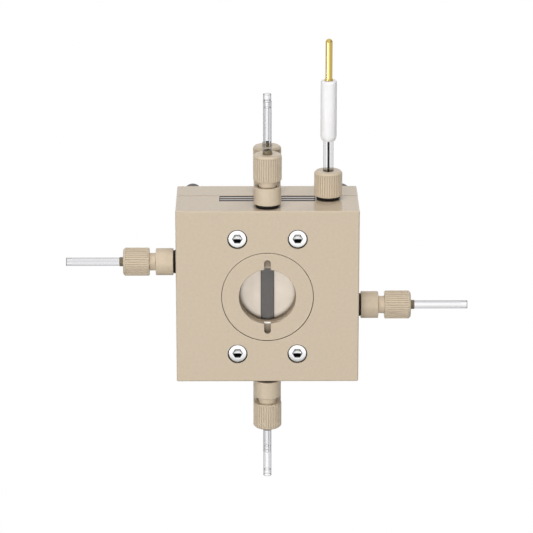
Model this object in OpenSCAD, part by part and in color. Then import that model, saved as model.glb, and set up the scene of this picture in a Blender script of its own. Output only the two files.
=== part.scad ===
// Gas diffusion electrolysis cell: a clamped two-plate block with a window, an electrode stack,
// six compression fittings with clear tube stubs and a reference electrode.
// Millimetres. The origin is the centre of the block, +Z up, and the window looks towards -Y.

/* [Block] */
// Width of the block, left to right
block_w = 70; // [66:0.5:90]
// Height of the block
block_h = 68.4; // [66:0.1:90]
// Thickness of the front plate, which holds the window and the electrode stack
front_plate_t = 21.5; // [20:0.1:30]
// Thickness of the back plate, which holds the rear chamber
back_plate_t = 14; // [12:0.1:24]
// Chamfer along the edges of both plates
plate_chamfer = 0.4; // [0.1:0.1:1]

/* [Window] */
// Outside diameter of the screwed window ring
ring_d = 35; // [33:0.1:36]
// Thickness of the window ring
ring_t = 3.3; // [3:0.1:4]
// Diameter of the opening in the window ring
opening_d = 21.8; // [16:0.1:24]
// Width of the two spanner slots in the ring
key_slot_w = 2.6; // [1.5:0.1:4]
// Radius that the spanner slots reach out to
key_slot_reach = 14.8; // [13:0.1:15.5]
// Depth of the spanner slots
key_slot_depth = 2.6; // [0.5:0.1:2.8]
// Thickness of the slip ring between the window ring and the glass
slip_ring_t = 1.2; // [0.6:0.1:1.5]
// Width of the slip ring's edge that shows inside the opening of the window ring
slip_ring_lip = 0.45; // [0:0.05:1]
// Diameter of the window glass
glass_d = 30; // [28.5:0.1:31]
// Thickness of the window glass
glass_t = 1; // [0.8:0.1:2]
// Thickness of the flat seal behind the glass
window_seal_t = 0.3; // [0.2:0.05:0.6]
// Diameter of the front chamber behind the glass
chamber_d = 26; // [25.6:0.1:26.5]
// Depth of the front chamber
chamber_t = 2; // [1.8:0.1:2.6]

/* [Electrode] */
// Width of the upright diffusion strip
strip_w = 5.2; // [4:0.1:7]
// Length of the diffusion strip
strip_h = 24; // [23.6:0.1:24.4]
// Thickness of the diffusion strip
strip_t = 0.8; // [0.3:0.1:1.5]
// Diameter of the disc that carries the strip
carrier_d = 28; // [27.2:0.1:30]
// Width of the slot in the carrier behind the strip
carrier_slot_w = 3.6; // [2:0.1:4]
// Length of the slot in the carrier behind the strip
carrier_slot_h = 16; // [10:0.5:17]
// Diameter of the two contact pins
contact_pin_d = 1.5; // [1:0.1:1.6]
// Height of the contact pins above and below the centre
contact_pin_z = 11; // [10.6:0.1:11.2]

/* [Stack] */
// Width of the sheets in the stack
sheet_w = 36.4; // [33:0.1:37]
// Thickness of each gasket, collector and frame sheet
sheet_t = 1.4; // [1.2:0.05:1.5]
// Thickness of the membrane
membrane_t = 0.3; // [0.1:0.05:0.5]
// Height of the pocket's floor above the underside of the block
pocket_foot = 6; // [4:0.5:7]
// Drop of the sheets' upper edges below the top of the block
sheet_drop = 0.1; // [0:0.1:1]
// Room between the sheets and the pocket
sheet_clear = 0.2; // [0.1:0.05:0.3]
// Diameter of the wetted window through the stack
active_d = 17; // [16.6:0.1:18.5]
// Thickness left behind the flow frame's two feed grooves
groove_floor = 0.5; // [0.3:0.05:0.8]
// Diameter of each hole in the anode plate
anode_hole_d = 2.2; // [1:0.1:2.6]
// Distance between neighbouring holes in the anode plate
anode_hole_pitch = 3.4; // [3.2:0.1:3.6]
// Depth of the rear chamber in the back plate
rear_chamber_t = 8; // [7:0.1:10]

/* [Screws] */
// Thread diameter of the screws
screw_d = 4; // [3:0.5:4]
// Diameter of the screw heads
screw_head_d = 7; // [6.4:0.1:7.4]
// Height of the screw heads
screw_head_h = 4; // [3:0.1:4.4]
// Width across the flats of the hexagon sockets
hex_af = 3; // [2:0.5:3.5]
// Depth of the hexagon sockets
hex_depth = 2; // [1:0.1:2.5]
// Sideways place of the front screws from the centre
front_screw_x = 11.5; // [10:0.1:13.5]
// Distance of the front screws from the upper and lower edges of the block
front_screw_edge = 11.2; // [10:0.1:11.5]
// Length of the front screws under the head
front_screw_l = 25; // [24:0.5:28]
// Sideways place of the back screws from the centre
back_screw_x = 29; // [28.8:0.1:30]
// Distance of the back screws from the upper and lower edges of the block
back_screw_edge = 3.6; // [3.5:0.1:8]
// Length of the back screws under the head
back_screw_l = 20; // [18:0.5:22]
// Room round a screw that passes through
screw_clear = 0.2; // [0.1:0.05:0.4]
// Room round a screw head that is sunk in the front plate
head_clear = 0.3; // [0.2:0.05:0.6]
// Depth of the front screws' heads below the face of the block
head_sink = 0.6; // [0:0.1:1.5]

/* [Ports] */
// Diameter of the threaded port holes
port_d = 6; // [5:0.1:6.4]
// Depth of the threaded port holes
port_depth = 8; // [7.5:0.1:9]
// Diameter of the drilled channels from the ports to the chambers
channel_d = 1.6; // [1:0.1:1.7]
// Height of the left port above the centre, and of the right port below it
side_port_z = 8.8; // [6:0.1:12]
// Distance of the rear ports behind the seam between the plates
rear_port_setback = 5.5; // [5.4:0.1:6.4]

/* [Fittings] */
// Diameter of the smooth fitting bodies
fitting_d = 10.5; // [9.4:0.1:10.8]
// Height of the smooth fitting bodies
fitting_l = 6.8; // [6.4:0.1:8]
// Length of the threaded shank that screws into the block
shank_l = 7; // [5:0.1:7.3]
// Space between the block and a fitting body, filled by the O-ring
seal_gap = 1.3; // [1:0.05:1.45]
// Thickness of the O-ring's cord before it is squeezed
seal_cord_d = 1.5; // [1.5:0.05:1.8]
// Diameter of the ribbed nuts
nut_d = 10.9; // [9:0.1:11.2]
// Length of the ribbed head of a fitting nut
nut_l = 10.2; // [8:0.1:12]
// Chamfer on the ends of the ribbed heads
nut_chamfer = 0.7; // [0.2:0.1:1]
// Diameter of the nut's threaded neck
neck_d = 6.8; // [6.4:0.1:7.4]
// Length of the nut's threaded neck
neck_l = 4.4; // [4.2:0.1:4.6]
// Number of ribs round a nut
rib_count = 36; // [24:2:48]
// Depth of the grooves between the ribs
rib_depth = 0.3; // [0.1:0.05:0.5]
// Gap between a front or side nut and its fitting body
nut_gap = 2.4; // [2.2:0.1:2.6]
// Gap between a rear nut, screwed home, and its fitting body
home_gap = 0.2; // [0.2:0.05:0.6]
// Outside diameter of the ferrule's sleeve
sleeve_d = 3.6; // [3.4:0.1:4.2]
// Length of sleeve that stands out of the nut
sleeve_out = 1.5; // [0.5:0.1:3]
// Outside diameter of the ferrule's collar
collar_d = 6.2; // [5:0.1:6.4]
// Height of the ferrule's collar
collar_t = 1.2; // [0.8:0.1:1.3]
// Outside diameter of the tube stubs
tube_d = 3.2; // [2.6:0.1:3.3]
// Diameter of the tube where the ferrule has squeezed it
tube_grip_d = 2.8; // [2.5:0.1:3]
// Bore of the tube stubs
tube_bore = 2; // [1:0.1:2.2]
// Length of each tube stub
tube_l = 38.7; // [34:0.1:60]
// Distance from the block to a tube's inner end, with the nut in the front nuts' place
tube_inset = 2.5; // [2.4:0.1:4]
// Extra distance that the side tubes are pulled out
side_tube_pull = 1.6; // [0:0.1:2]

/* [Reference electrode] */
// Sideways place of the reference electrode
reference_x = 23.4; // [22.4:0.1:23.5]
// Diameter of the reference electrode's nut
reference_nut_d = 10.8; // [9.6:0.1:11]
// Length of the nut's ribbed head
reference_nut_l = 9.8; // [8:0.1:12]
// Length of the nut's shank
reference_shank_l = 6; // [4:0.1:7]
// Height of the gland ring under the shank
gland_t = 1.2; // [0.8:0.1:2]
// Outside diameter of the glass stem
stem_d = 4; // [3.6:0.1:4.4]
// Bore of the glass stem
stem_bore = 2.4; // [1.6:0.1:2.8]
// Height of the stem's tip above the side channel
tip_rise = 2.8; // [2:0.1:10]
// Height of the cap's lower end above the block
cap_rise = 23; // [18:0.1:40]
// Diameter of the cap
cap_d = 6.2; // [5.4:0.1:8]
// Length of the cap
cap_l = 23.6; // [18:0.1:30]
// Chamfer on the upper end of the cap
cap_chamfer = 0.5; // [0.2:0.1:1]
// Radial size of the taper at the foot of the cap
cap_taper = 0.7; // [0.2:0.1:0.9]
// Height of the taper at the foot of the cap
cap_taper_h = 1.4; // [0.5:0.1:3]
// Depth that the stem and the pin's root each reach into the cap
cap_socket = 8; // [5:0.1:8.5]
// Diameter of the contact pin on top
top_pin_d = 2.75; // [2:0.05:4]
// Length of the contact pin above the cap
top_pin_l = 16.2; // [10:0.1:25]
// Diameter of the silver wire
wire_d = 0.6; // [0.4:0.1:1]
// Height of the porous plug in the tip
plug_t = 4; // [2:0.1:6]

/* [Hidden] */
$fn = 96;

// Radial room in a thread or other close fit
fit = 0.05;
// Radial room round the window ring, which shows as a thin line
ring_clear = 0.2;
// Chamfer on small turned pieces
small_chamfer = 0.3;
// Half widths of a rib's crest and foot, as shares of the angle between ribs
crest_share = 0.28;
valley_share = 0.38;
// Overshoot of cutting shapes
cut = 1;

block_d = front_plate_t + back_plate_t;
front_y = -block_d / 2;
seam_y = front_y + front_plate_t;
back_y = block_d / 2;
top_z = block_h / 2;
front_screw_z = top_z - front_screw_edge;
back_screw_z = top_z - back_screw_edge;

// The window's pieces follow each other inwards from the front face
slip_ring_y = front_y + ring_t;
glass_y = slip_ring_y + slip_ring_t;
window_seal_y = glass_y + glass_t;
chamber_y = window_seal_y + window_seal_t;
carrier_y = chamber_y + chamber_t;

// The stack's sheets follow each other inwards from the pocket's floor, up to the seam
stack_t = 5 * sheet_t + membrane_t;
front_gasket_y = seam_y - stack_t;
collector_y = front_gasket_y + sheet_t;
flow_frame_y = collector_y + sheet_t;
membrane_y = flow_frame_y + sheet_t;
anode_y = membrane_y + membrane_t;
rear_gasket_y = anode_y + sheet_t;
carrier_t = front_gasket_y - carrier_y;
pocket_z = -top_z + pocket_foot;
sheet_z = pocket_z + sheet_clear;
sheet_h = top_z - sheet_drop - sheet_z;

front_port_y = chamber_y + chamber_t / 2;
side_port_y = flow_frame_y + sheet_t / 2;
rear_port_y = seam_y + rear_port_setback;

// Fitting heights, measured out from the block's face
fitting_top = seal_gap + fitting_l;
socket_depth = neck_l - home_gap + collar_t + 2 * fit;
socket_floor = fitting_top - socket_depth;
tube_stop = tube_inset - (nut_gap - home_gap) - small_chamfer;

// Reference electrode heights
reference_bore_z = top_z - reference_shank_l - gland_t - 2 * fit;
tip_z = -side_port_z + tip_rise;
cap_z = top_z + cap_rise;
cap_top_z = cap_z + cap_l;
pin_root_d = top_pin_d - 2 * small_chamfer;
pin_collar_d = top_pin_d + 2 * small_chamfer;

// Each port: name, place on the block's face, turn that points +Z outwards, nut gap, extra tube pull
PORTS = [
  ["left", [-block_w / 2, side_port_y, side_port_z], [0, -90, 0], nut_gap, side_tube_pull],
  ["right", [block_w / 2, side_port_y, -side_port_z], [0, 90, 0], nut_gap, side_tube_pull],
  ["top_front", [0, front_port_y, top_z], [0, 0, 0], nut_gap, 0],
  ["top_rear", [0, rear_port_y, top_z], [0, 0, 0], home_gap, 0],
  ["bottom_front", [0, front_port_y, -top_z], [180, 0, 0], nut_gap, 0],
  ["bottom_rear", [0, rear_port_y, -top_z], [180, 0, 0], home_gap, 0],
];

peek = [0.80, 0.74, 0.66];
black_rubber = [0.08, 0.08, 0.08];
dark_rubber = [0.25, 0.23, 0.24];
titanium = [0.62, 0.61, 0.60];
clear_glass = [0.85, 0.90, 0.92, 0.4];
white_ptfe = [0.95, 0.95, 0.95];

// Shared shapes

// A turned piece: points are [radius, height] in the half plane right of the axis
module turned(points) {
  rotate_extrude() polygon(points);
}

// A plain disc or ring along +Y from a given depth
module ring_y(y, t, outer_d, inner_d = 0) {
  translate([0, y, 0]) rotate([-90, 0, 0]) difference() {
    cylinder(d = outer_d, h = t);
    if (inner_d > 0) translate([0, 0, -cut]) cylinder(d = inner_d, h = t + 2 * cut);
  }
}

// A drilled hole along +Y
module hole_y(x, y, z, d, l) {
  translate([x, y, z]) rotate([-90, 0, 0]) cylinder(d = d, h = l);
}

module chamfered_rectangle(w, h, c) {
  polygon([
    [-w / 2 + c, -h / 2], [w / 2 - c, -h / 2], [w / 2, -h / 2 + c], [w / 2, h / 2 - c],
    [w / 2 - c, h / 2], [-w / 2 + c, h / 2], [-w / 2, h / 2 - c], [-w / 2, -h / 2 + c],
  ]);
}

// A plate between two depths, with every edge chamfered
module chamfered_plate(y, t) {
  translate([0, y + t / 2, 0]) intersection() {
    linear_extrude(block_h, center = true) chamfered_rectangle(block_w, t, plate_chamfer);
    rotate([90, 0, 0]) linear_extrude(t, center = true) chamfered_rectangle(block_w, block_h, plate_chamfer);
    rotate([90, 0, 90]) linear_extrude(block_w, center = true) chamfered_rectangle(t, block_h, plate_chamfer);
  }
}

// Children in a port's own frame: origin on the block's face, +Z outwards
module at_port(port) {
  translate(port[1]) rotate(port[2]) children();
}

// Children at the four places of a screw pattern
module at_corners(x, z) {
  for (sx = [-1, 1]) {
    for (sz = [-1, 1]) {
      translate([sx * x, 0, sz * z]) children();
    }
  }
}

// A threaded port hole and the channel that leads on from it
module port_cut(channel_l) {
  translate([0, 0, -port_depth]) cylinder(d = port_d + 2 * fit, h = port_depth + cut);
  translate([0, 0, -channel_l]) cylinder(d = channel_d, h = channel_l);
}

// A socket cap screw along +Y, with the top of its head at the origin
module cap_screw(l) {
  c = small_chamfer;
  r = screw_d / 2;
  head_r = screw_head_d / 2;
  rotate([-90, 0, 0]) difference() {
    turned([
      [0, 0], [head_r - c, 0], [head_r, c], [head_r, screw_head_h], [r, screw_head_h],
      [r, screw_head_h + l - c], [r - c, screw_head_h + l], [0, screw_head_h + l],
    ]);
    translate([0, 0, -cut]) cylinder(d = hex_af / cos(30), h = hex_depth + cut, $fn = 6);
  }
}

// An O-ring squeezed between two faces, round a shank
module squeezed_ring(shank_d) {
  centre_r = shank_d / 2 + fit + seal_cord_d / 2;
  rotate_extrude() intersection() {
    translate([centre_r, seal_gap / 2]) circle(d = seal_cord_d, $fn = 48);
    translate([shank_d / 2, 0]) square([2 * seal_cord_d, seal_gap]);
  }
}

// A ribbed head: a star-shaped bar turned down to a chamfered cylinder
module ribbed_head(d, l) {
  r = d / 2;
  c = nut_chamfer;
  valley_r = r - rib_depth;
  step = 360 / rib_count;
  crest = step * crest_share;
  valley = step * valley_share;
  rib = [[-valley, valley_r], [-crest, r], [crest, r], [valley, valley_r]];
  intersection() {
    linear_extrude(l) polygon([
      for (i = [0:rib_count - 1]) for (corner = rib)
        [corner[1] * cos(i * step + corner[0]), corner[1] * sin(i * step + corner[0])]
    ]);
    turned([[0, 0], [r - c / 2, 0], [r, c / 2], [r, l - c], [r - c, l], [0, l]]);
  }
}

// One sheet of the stack, with its four screw holes
module sheet(y, t) {
  difference() {
    translate([-sheet_w / 2, y, sheet_z]) cube([sheet_w, t, sheet_h]);
    at_corners(front_screw_x, front_screw_z) hole_y(0, y - cut, 0, screw_d + 2 * screw_clear, t + 2 * cut);
  }
}

// A sheet with the wetted window through it
module open_sheet(y, t) {
  difference() {
    sheet(y, t);
    hole_y(0, y - cut, 0, active_d, t + 2 * cut);
  }
}

// Block

module front_plate() {
  head_hole_d = screw_head_d + 2 * head_clear;
  recess_d = glass_d + 2 * ring_clear;
  pocket_w = sheet_w + 2 * sheet_clear;
  c = plate_chamfer;
  color(peek) difference() {
    chamfered_plate(front_y, front_plate_t);
    hole_y(0, front_y - cut, 0, ring_d + 2 * ring_clear, ring_t + cut);
    hole_y(0, front_y, 0, recess_d, chamber_y - front_y);
    hole_y(0, front_y, 0, chamber_d, front_plate_t);
    hole_y(0, carrier_y, 0, carrier_d + 2 * fit, front_plate_t);
    translate([-pocket_w / 2, front_gasket_y, pocket_z]) cube([pocket_w, stack_t + cut, block_h]);
    translate([-pocket_w / 2, front_gasket_y, top_z]) rotate([90, 0, 90]) linear_extrude(pocket_w)
      polygon([[cut, -c - cut], [-c - cut, cut], [cut, cut]]);
    at_corners(front_screw_x, front_screw_z) {
      hole_y(0, front_y - cut, 0, head_hole_d, head_sink + screw_head_h + cut);
      hole_y(0, front_y, 0, screw_d + 2 * screw_clear, front_plate_t + cut);
    }
    at_corners(back_screw_x, back_screw_z)
      hole_y(0, back_y - back_screw_l - cut, 0, screw_d + 2 * fit, back_screw_l);
    at_port(PORTS[0]) port_cut(block_w / 2 - sheet_w / 2);
    at_port(PORTS[1]) port_cut(block_w / 2 - sheet_w / 2);
    at_port(PORTS[2]) port_cut(top_z);
    at_port(PORTS[4]) port_cut(top_z);
    translate([reference_x, side_port_y, reference_bore_z])
      cylinder(d = port_d + 2 * fit, h = top_z - reference_bore_z + cut);
    translate([reference_x, side_port_y, -side_port_z])
      cylinder(d = stem_d + 2 * screw_clear, h = reference_bore_z + side_port_z + cut);
  }
}

module back_plate() {
  thread_l = head_sink + screw_head_h + front_screw_l - front_plate_t + cut;
  color(peek) difference() {
    chamfered_plate(seam_y, back_plate_t);
    hole_y(0, seam_y - cut, 0, active_d, rear_chamber_t + cut);
    at_corners(front_screw_x, front_screw_z) hole_y(0, seam_y - cut, 0, screw_d + 2 * fit, thread_l + cut);
    at_corners(back_screw_x, back_screw_z)
      hole_y(0, seam_y - cut, 0, screw_d + 2 * screw_clear, back_plate_t + 2 * cut);
    at_port(PORTS[3]) port_cut(top_z);
    at_port(PORTS[5]) port_cut(top_z);
  }
}

module front_screws() {
  color("silver") at_corners(front_screw_x, front_screw_z)
    translate([0, front_y + head_sink, 0]) cap_screw(front_screw_l);
}

module back_screws() {
  color([0.15, 0.15, 0.15]) at_corners(back_screw_x, back_screw_z)
    translate([0, back_y + screw_head_h, 0]) rotate([0, 0, 180]) cap_screw(back_screw_l);
}

// Window

module window_ring() {
  c = small_chamfer / 2;
  r = ring_d / 2;
  bore_r = opening_d / 2;
  slot_end = key_slot_reach - key_slot_w / 2;
  color(peek) difference() {
    translate([0, front_y, 0]) rotate([-90, 0, 0]) turned([
      [bore_r + c, 0], [r - c, 0], [r, c], [r, ring_t - c], [r - c, ring_t],
      [bore_r, ring_t], [bore_r, c],
    ]);
    for (side = [0, 180]) {
      rotate([0, side, 0]) {
        hole_y(0, front_y - cut, slot_end, key_slot_w, key_slot_depth + cut);
        translate([-key_slot_w / 2, front_y - cut, 0]) cube([key_slot_w, key_slot_depth + cut, slot_end]);
      }
    }
  }
}

module window_slip_ring() {
  color(black_rubber) ring_y(slip_ring_y, slip_ring_t, glass_d, opening_d - 2 * slip_ring_lip);
}

module window_glass() {
  color(clear_glass) ring_y(glass_y, glass_t, glass_d);
}

module window_seal() {
  color(white_ptfe) ring_y(window_seal_y, window_seal_t, glass_d, chamber_d);
}

// Electrode

module diffusion_strip() {
  color([0.44, 0.43, 0.42]) translate([-strip_w / 2, carrier_y - strip_t, -strip_h / 2])
    cube([strip_w, strip_t, strip_h]);
}

module strip_carrier() {
  straight_h = carrier_slot_h - carrier_slot_w;
  color([0.86, 0.81, 0.76]) difference() {
    ring_y(carrier_y, carrier_t, carrier_d);
    translate([-carrier_slot_w / 2, carrier_y - cut, -straight_h / 2])
      cube([carrier_slot_w, carrier_t + 2 * cut, straight_h]);
    for (end = [-1, 1]) hole_y(0, carrier_y - cut, end * straight_h / 2, carrier_slot_w, carrier_t + 2 * cut);
    for (end = [-1, 1]) {
      hole_y(0, carrier_y - cut, end * contact_pin_z, contact_pin_d + 2 * fit, carrier_t + 2 * cut);
    }
  }
}

module contact_pins() {
  color(titanium) for (end = [-1, 1]) {
    hole_y(0, carrier_y, end * contact_pin_z, contact_pin_d, carrier_t + sheet_t);
  }
}

// Stack

module front_gasket() {
  color(dark_rubber) difference() {
    open_sheet(front_gasket_y, sheet_t);
    for (end = [-1, 1]) {
      hole_y(0, front_gasket_y - cut, end * contact_pin_z, contact_pin_d + 2 * fit, sheet_t + 2 * cut);
    }
  }
}

module cathode_collector() {
  color(titanium) open_sheet(collector_y, sheet_t);
}

// The middle chamber: a groove leads to it from each side port, high on the left and low on the right
module flow_frame() {
  groove_t = sheet_t - groove_floor;
  color(dark_rubber) difference() {
    open_sheet(flow_frame_y, sheet_t);
    for (side = [0, 180]) {
      rotate([0, side, 0]) translate([-sheet_w / 2 - cut, flow_frame_y - cut, side_port_z - channel_d / 2])
        cube([sheet_w / 2 + cut, groove_t + cut, channel_d]);
    }
  }
}

module membrane() {
  color([0.90, 0.85, 0.70]) sheet(membrane_y, membrane_t);
}

// Two rings of holes round a centre hole let the liquid reach the membrane
module anode_plate() {
  color(titanium) difference() {
    sheet(anode_y, sheet_t);
    hole_y(0, anode_y - cut, 0, anode_hole_d, sheet_t + 2 * cut);
    for (row = [1, 2]) {
      for (i = [0:6 * row - 1]) {
        a = i * 60 / row;
        hole_y(row * anode_hole_pitch * cos(a), anode_y - cut, row * anode_hole_pitch * sin(a),
          anode_hole_d, sheet_t + 2 * cut);
      }
    }
  }
}

module rear_gasket() {
  color(dark_rubber) open_sheet(rear_gasket_y, sheet_t);
}

// Fittings

module port_seals() {
  color(black_rubber) for (port = PORTS) at_port(port) squeezed_ring(port_d);
}

// The threaded shank goes into the block; the socket on top takes the nut's neck and the ferrule
module fitting_body(port) {
  c = small_chamfer;
  r = fitting_d / 2;
  shank_r = port_d / 2;
  color(peek) at_port(port) difference() {
    turned([
      [0, -shank_l], [shank_r - c, -shank_l], [shank_r, c - shank_l], [shank_r, seal_gap],
      [r - c, seal_gap], [r, seal_gap + c], [r, fitting_top - c], [r - c, fitting_top], [0, fitting_top],
    ]);
    translate([0, 0, socket_floor]) cylinder(d = neck_d + 2 * fit, h = socket_depth + cut);
    translate([0, 0, tube_stop]) cylinder(d = tube_d + 2 * fit, h = fitting_l);
    translate([0, 0, -shank_l - cut]) cylinder(d = channel_d, h = shank_l + fitting_l);
  }
}

// A collar under the nut's neck grips the tube, and its sleeve runs out through the nut
module ferrule(port) {
  c = small_chamfer;
  bore_r = tube_grip_d / 2 + fit / 2;
  sleeve_r = sleeve_d / 2;
  collar_r = collar_d / 2;
  collar_top = fitting_top + port[3] - neck_l - fit;
  sleeve_top = fitting_top + port[3] + nut_l + sleeve_out;
  color([0.36, 0.31, 0.22]) at_port(port) turned([
    [bore_r, collar_top - collar_t], [collar_r - c, collar_top - collar_t],
    [collar_r, collar_top - collar_t + c], [collar_r, collar_top], [sleeve_r, collar_top],
    [sleeve_r, sleeve_top], [bore_r, sleeve_top],
  ]);
}

module nut(port) {
  color(peek) at_port(port) translate([0, 0, fitting_top + port[3]]) difference() {
    union() {
      ribbed_head(nut_d, nut_l);
      translate([0, 0, -neck_l]) cylinder(d = neck_d, h = neck_l + cut);
    }
    translate([0, 0, -neck_l - cut]) cylinder(d = sleeve_d + 2 * fit, h = neck_l + nut_l + 2 * cut);
  }
}

// The gripped length is a little thinner than the free end, which takes a hose
module tube(port) {
  c = small_chamfer / 2;
  r = tube_d / 2;
  bore_r = tube_bore / 2;
  grip_r = tube_grip_d / 2;
  start = tube_inset + port[3] - nut_gap + port[4];
  free_start = fitting_top + port[3] + nut_l + sleeve_out + small_chamfer;
  end = start + tube_l;
  color(clear_glass) at_port(port) turned([
    [bore_r, start], [grip_r, start], [grip_r, free_start], [r, free_start],
    [r, end - c], [r - c, end], [bore_r, end],
  ]);
}

// Reference electrode

// Children on the reference electrode's axis, with z = 0 on the top of the block
module at_reference() {
  translate([reference_x, side_port_y, top_z]) children();
}

module reference_nut() {
  color(peek) at_reference() difference() {
    union() {
      translate([0, 0, seal_gap]) ribbed_head(reference_nut_d, reference_nut_l);
      translate([0, 0, -reference_shank_l]) cylinder(d = port_d, h = reference_shank_l + seal_gap + cut);
    }
    translate([0, 0, -reference_shank_l - cut])
      cylinder(d = stem_d + 2 * fit, h = reference_shank_l + seal_gap + reference_nut_l + 2 * cut);
  }
}

module reference_seal() {
  color(black_rubber) at_reference() squeezed_ring(port_d);
}

// The nut's shank squeezes this ring on the stem
module reference_gland_ring() {
  color(black_rubber) at_reference() translate([0, 0, -reference_shank_l - gland_t - fit]) difference() {
    cylinder(d = port_d, h = gland_t);
    translate([0, 0, -cut]) cylinder(d = stem_d + 2 * fit, h = gland_t + 2 * cut);
  }
}

module reference_glass() {
  color(clear_glass) translate([reference_x, side_port_y, tip_z]) difference() {
    cylinder(d = stem_d, h = cap_z + cap_socket - tip_z);
    translate([0, 0, -cut]) cylinder(d = stem_bore, h = block_h + cap_rise + cap_l);
  }
}

module reference_plug() {
  color(white_ptfe) translate([reference_x, side_port_y, tip_z]) cylinder(d = stem_bore - fit, h = plug_t);
}

module reference_wire() {
  wire_z = tip_z + 2 * plug_t;
  color([0.35, 0.34, 0.33]) translate([reference_x, side_port_y, wire_z])
    cylinder(d = wire_d, h = cap_top_z - cap_socket - wire_z);
}

module reference_cap() {
  c = cap_chamfer;
  r = cap_d / 2;
  color(white_ptfe) translate([reference_x, side_port_y, cap_z]) difference() {
    turned([[0, 0], [r - cap_taper, 0], [r, cap_taper_h], [r, cap_l - c], [r - c, cap_l], [0, cap_l]]);
    translate([0, 0, -cut]) cylinder(d = stem_d + fit, h = cap_socket + cut);
    cylinder(d = wire_d + 2 * fit, h = cap_l);
    translate([0, 0, cap_l - cap_socket]) cylinder(d = pin_root_d + fit, h = cap_socket + cut);
  }
}

// A turned pin with a collar at its foot and a rounded tip
module reference_pin() {
  r = top_pin_d / 2;
  root_r = pin_root_d / 2;
  collar_r = pin_collar_d / 2;
  shoulder = top_pin_l - r;
  color("gold") translate([reference_x, side_port_y, cap_top_z]) rotate_extrude() {
    translate([0, -cap_socket]) square([root_r, cap_socket + cut]);
    square([collar_r, 2 * small_chamfer]);
    square([r, shoulder]);
    intersection() {
      translate([0, shoulder]) circle(r = r);
      translate([0, shoulder]) square([r, r]);
    }
  }
}

// What is drawn

front_plate();
back_plate();
window_ring();
window_slip_ring();
window_glass();
window_seal();
diffusion_strip();
strip_carrier();
contact_pins();
front_gasket();
cathode_collector();
flow_frame();
membrane();
anode_plate();
rear_gasket();
front_screws();
back_screws();
port_seals();
reference_nut();
reference_seal();
reference_gland_ring();
reference_glass();
reference_plug();
reference_wire();
reference_cap();
reference_pin();
for (port = PORTS) {
  fitting_body(port);
  ferrule(port);
  nut(port);
  tube(port);
}
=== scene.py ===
# %% [markdown]
# # A gas diffusion electrolysis cell, dressed for its picture
# The packed solids come in first and stay where they are. Everything that follows either gives a
# solid a better surface or puts a finer piece in its place, so the size is never in question.

# %% Load the solids
import math

import bmesh
import bpy
from mathutils import Euler, Matrix, Vector


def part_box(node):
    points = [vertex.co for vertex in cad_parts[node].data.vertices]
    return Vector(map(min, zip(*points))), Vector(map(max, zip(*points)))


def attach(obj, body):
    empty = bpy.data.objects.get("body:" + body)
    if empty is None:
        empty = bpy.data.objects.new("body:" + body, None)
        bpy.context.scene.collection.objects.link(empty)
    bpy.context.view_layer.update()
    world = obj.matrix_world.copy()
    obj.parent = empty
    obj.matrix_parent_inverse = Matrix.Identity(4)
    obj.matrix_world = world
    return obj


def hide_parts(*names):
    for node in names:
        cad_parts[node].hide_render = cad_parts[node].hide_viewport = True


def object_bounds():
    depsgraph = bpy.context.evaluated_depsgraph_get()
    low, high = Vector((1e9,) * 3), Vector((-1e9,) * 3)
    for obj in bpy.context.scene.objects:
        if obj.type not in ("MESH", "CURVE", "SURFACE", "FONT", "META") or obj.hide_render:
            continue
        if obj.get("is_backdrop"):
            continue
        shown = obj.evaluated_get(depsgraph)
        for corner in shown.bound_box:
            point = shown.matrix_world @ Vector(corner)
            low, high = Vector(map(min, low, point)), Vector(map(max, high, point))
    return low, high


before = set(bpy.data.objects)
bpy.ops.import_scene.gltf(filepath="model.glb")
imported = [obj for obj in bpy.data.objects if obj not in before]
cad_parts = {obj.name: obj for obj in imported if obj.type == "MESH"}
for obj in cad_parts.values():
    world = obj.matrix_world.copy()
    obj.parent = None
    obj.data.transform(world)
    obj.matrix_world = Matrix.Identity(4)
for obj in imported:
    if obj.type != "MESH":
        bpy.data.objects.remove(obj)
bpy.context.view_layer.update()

MM = 0.001

# %% [markdown]
# ## The camera
# The picture was taken from a little over a metre away with a long lens, looking down at the
# block, so upright edges lean hardly at all. A lens length and a place that were fitted to the
# block's corners repeat that view; a shorter lens nearer by would make the front face too big.

# %% Place the camera
LENS_LENGTH = 197.3
CAMERA_PLACE = Vector((-0.0064, -1.0802, 0.3445))
CAMERA_TILT = math.radians(72.636)
CAMERA_TURN = math.radians(-0.324)

scene = bpy.context.scene
scene.view_settings.view_transform = "Standard"
camera_data = bpy.data.cameras.new("camera")
camera_data.lens = LENS_LENGTH
camera = bpy.data.objects.new("camera", camera_data)
camera.location = CAMERA_PLACE
camera.rotation_euler = Euler((CAMERA_TILT, 0, CAMERA_TURN))
scene.collection.objects.link(camera)
scene.camera = camera
print("camera", round(CAMERA_PLACE.length, 3), "m from the middle of the block")

# %% [markdown]
# ## Short ways to wire nodes
# The sky, the floor and every finish are trees of nodes. Naming every node and link by hand hides
# the idea, so this small class makes a node, sets its sockets by name and links what is itself a
# socket. Noise seldom leaves the middle of its range, so ramps start and end there unless told.

# %% Wire nodes
NOISE_LOW, NOISE_HIGH = 0.3, 0.7
MIX_AMOUNT, MIX_FIRST, MIX_LAST, MIX_RESULT = 0, 6, 7, 2


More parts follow.
